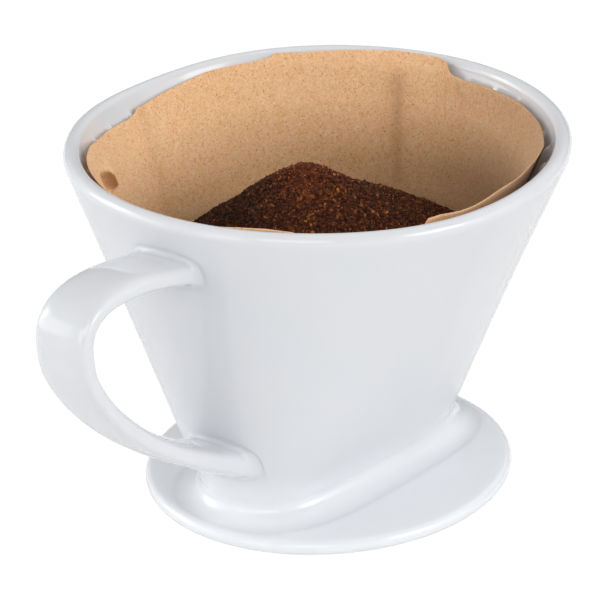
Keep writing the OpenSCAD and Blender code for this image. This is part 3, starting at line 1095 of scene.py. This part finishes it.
fit(build_paper(), paper_material(), "filter", "paper_filter")

bed, bed_angles, bed_radii = build_coffee()
fit(bed, coffee_material("coffee_fines", grain=False), "grounds",
    "coffee_grounds")
grain_material = coffee_material("coffee_grain", grain=True)
# name, count, seed, middle radius, its variation, greatest lift above the heap
for grains_name, grain_count, grain_seed, grain_r, variation, top_lift in (
        ("coffee_grains_small", 9500, 11, 0.27, 0.20, 0.08),
        ("coffee_grains_medium", 9500, 13, 0.31, 0.20, 0.12),
        ("coffee_grains_coarse", 7500, 12, 0.38, 0.24, 0.18)):
    grains = build_grains(grains_name, grain_count, grain_seed, (bed_angles, bed_radii),
                          grain_r, variation, top_lift)
    fit(grains, grain_material, "grounds")

# --------------------------------------------------------------------- stage
BACKDROP = 1.02                     # brightness of floor and world as the camera sees them
RIGHT, NEAR = Vector((*VIEW_RIGHT, 0)), Vector((*TO_CAMERA, 0))


def build_floor():
    size, z = 3000, RING_Z - 0.02
    corners = [(-size, -size, z), (size, -size, z), (size, size, z), (-size, size, z)]
    floor = add_mesh("floor", corners, [[0, 1, 2, 3]], smooth_faces=False)
    material, g, surface = new_material("pale_floor")
    colour = g.ramp(g.noise(scale=3.0, detail=2.0), [(0.3, (0.93,) * 3), (0.7, (0.95,) * 3)])
    g.set(surface, {"Base Color": colour, "Roughness": 0.9, "Specular IOR Level": 0.1})
    plain = g.node("Emission", {"Strength": BACKDROP})
    g.feed(g.output.inputs[0], g.mix_shader(g.camera_ray(), surface, plain))
    floor.data.materials.append(material)


def toward(azimuth, elevation):
    """Unit vector by degrees: azimuth from the camera's side to the view's right, and height."""
    a, e = math.radians(azimuth), math.radians(elevation)
    return (NEAR * math.cos(a) * math.cos(e) + RIGHT * math.sin(a) * math.cos(e)
            + Vector((0, 0, math.sin(e))))


# The studio, by direction from the object: broad soft lobes of light all round, like the walls
# of a light tent, and soft-edged panels in front of them.
# azimuth, elevation, strength
LOBES = ((-120, 14, 0.86), (-90, 14, 0.79), (-60, 14, 0.42), (-30, 14, 0.10), (30, 14, 0.60),
         (60, 14, 1.04), (90, 14, 0.35), (150, 14, 0.23), (-150, 14, 0.21), (135, 45, 1.02),
         (-90, 45, 0.15), (0, 88, 0.34))
# azimuth from and to, elevation from and to, strength
PANELS = ((-28, 8, 20, 46, 2.6), (43, 68, 15, 42, 3.2), (-120, -95, 0, 35, 1.7),
          (-112, -101, 17, 31, 2.5), (-95, -72, 0, 30, 1.0), (-54, -33, 2, 34, 1.95),
          (65, 95, 0, 35, 0.5))
PANEL_FADE = 6.0                    # width of a panel's soft edge, in degrees


def build_world():
    world = bpy.data.worlds.new("studio")
    scene.world = world
    world.use_nodes = True
    g = Graph(world.node_tree)
    ray = g.node("TexCoord").outputs["Generated"]

    def band(value, lo, hi):
        """1 between lo and hi, fading softly to 0 outside."""
        off = g.calc("ABSOLUTE", g.calc("SUBTRACT", value, (lo + hi) / 2))
        return g.between(off, start=(hi - lo) / 2 - PANEL_FADE / 2,
                         end=(hi - lo) / 2 + PANEL_FADE / 2, to=(1.0, 0.0))

    glows = []
    for azimuth, elevation, strength in LOBES:
        tightness = 7.5 if elevation < 30 else 6.0
        off = g.calc("SUBTRACT", g.dot(ray, toward(azimuth, elevation)), 1.0)
        glows.append(g.times(g.calc("EXPONENT", g.times(off, tightness)), strength))
    around = g.times(g.calc("ARCTAN2", g.dot(ray, RIGHT), g.dot(ray, NEAR)), 180 / math.pi)
    above = g.times(g.calc("ARCSINE", g.dot(ray, Vector((0, 0, 1)))), 180 / math.pi)
    for az_lo, az_hi, el_lo, el_hi, strength in PANELS:
        shape = g.times(band(around, az_lo, az_hi), band(above, el_lo, el_hi))
        glows.append(g.times(shape, strength))
    total = glows[0]
    for glow in glows[1:]:
        total = g.calc("ADD", total, glow)
    studio = g.tree.nodes["Background"]
    g.set(studio, {0: (0.995, 1.0, 1.0, 1), 1: total})
    plain = g.node("Background", {0: (1, 1, 1, 1), 1: BACKDROP})
    g.feed(g.tree.nodes["World Output"].inputs[0], g.mix_shader(g.camera_ray(), studio, plain))


def build_lamp():
    """A rectangular light that fills the given angles, in degrees, seen from its target."""
    az_lo, az_hi, el_lo, el_hi = 46, 65, 18, 39
    radiance, dist, target = 0.6, 1.2, Vector((0, 0, 0.045))
    azimuth, elevation = (az_lo + az_hi) / 2, (el_lo + el_hi) / 2
    light = bpy.data.lights.new("front_right", "AREA")
    light.shape = "RECTANGLE"
    width = (2 * dist * math.tan(math.radians((az_hi - az_lo) / 2))
             * math.cos(math.radians(elevation)))
    height = 2 * dist * math.tan(math.radians((el_hi - el_lo) / 2))
    light.size, light.size_y = width, height
    light.energy = math.pi * width * height * radiance
    light.color = (1.0, 0.99, 0.99)
    lamp = add_object("front_right", light)
    z_axis = toward(azimuth, elevation)
    x_axis = Vector((0, 0, 1)).cross(z_axis).normalized()
    lamp.location = target + z_axis * dist
    lamp.rotation_mode = "QUATERNION"
    axes = Matrix((x_axis, z_axis.cross(x_axis), z_axis))
    lamp.rotation_quaternion = axes.transposed().to_quaternion()


# Lens, sensor and aim in mm; the aim is how far off the sensor's middle the lens axis would
# move, to the right and up, as the camera turns to frame the object
LENS, SENSOR = 229.932, 36.0
AIM_RIGHT, AIM_UP = -1.3236, -0.7464
VIEW_DIST, VIEW_CENTRE_Z = 959.42914, 50.875


def build_camera():
    elevation, roll = math.radians(VIEW_EL), math.radians(VIEW_ROLL)
    back = Vector((*(TO_CAMERA * math.cos(elevation)), math.sin(elevation)))
    level_up = back.cross(RIGHT)
    right = RIGHT * math.cos(roll) + level_up * math.sin(roll)
    upward = -RIGHT * math.sin(roll) + level_up * math.cos(roll)
    position = (Vector((0, 0, VIEW_CENTRE_Z)) + back * VIEW_DIST) * MM
    forward = (right * (AIM_RIGHT / LENS) + upward * (AIM_UP / LENS) - back).normalized()
    x_axis = (right - forward * right.dot(forward)).normalized()
    axes = Matrix((x_axis, x_axis.cross(forward), -forward)).transposed()
    data = bpy.data.cameras.new("camera")
    data.sensor_width = SENSOR
    data.sensor_fit = "HORIZONTAL"
    data.lens = LENS
    data.clip_start, data.clip_end = 0.05, 20
    camera = add_object("camera", data)
    camera.matrix_world = Matrix.Translation(position) @ axes.to_4x4()
    scene.camera = camera


build_floor()
build_world()
build_lamp()
build_camera()
scene.view_settings.view_transform = "Standard"
scene.view_settings.look = "None"
scene.cycles.max_bounces = 10
scene.cycles.diffuse_bounces = 6
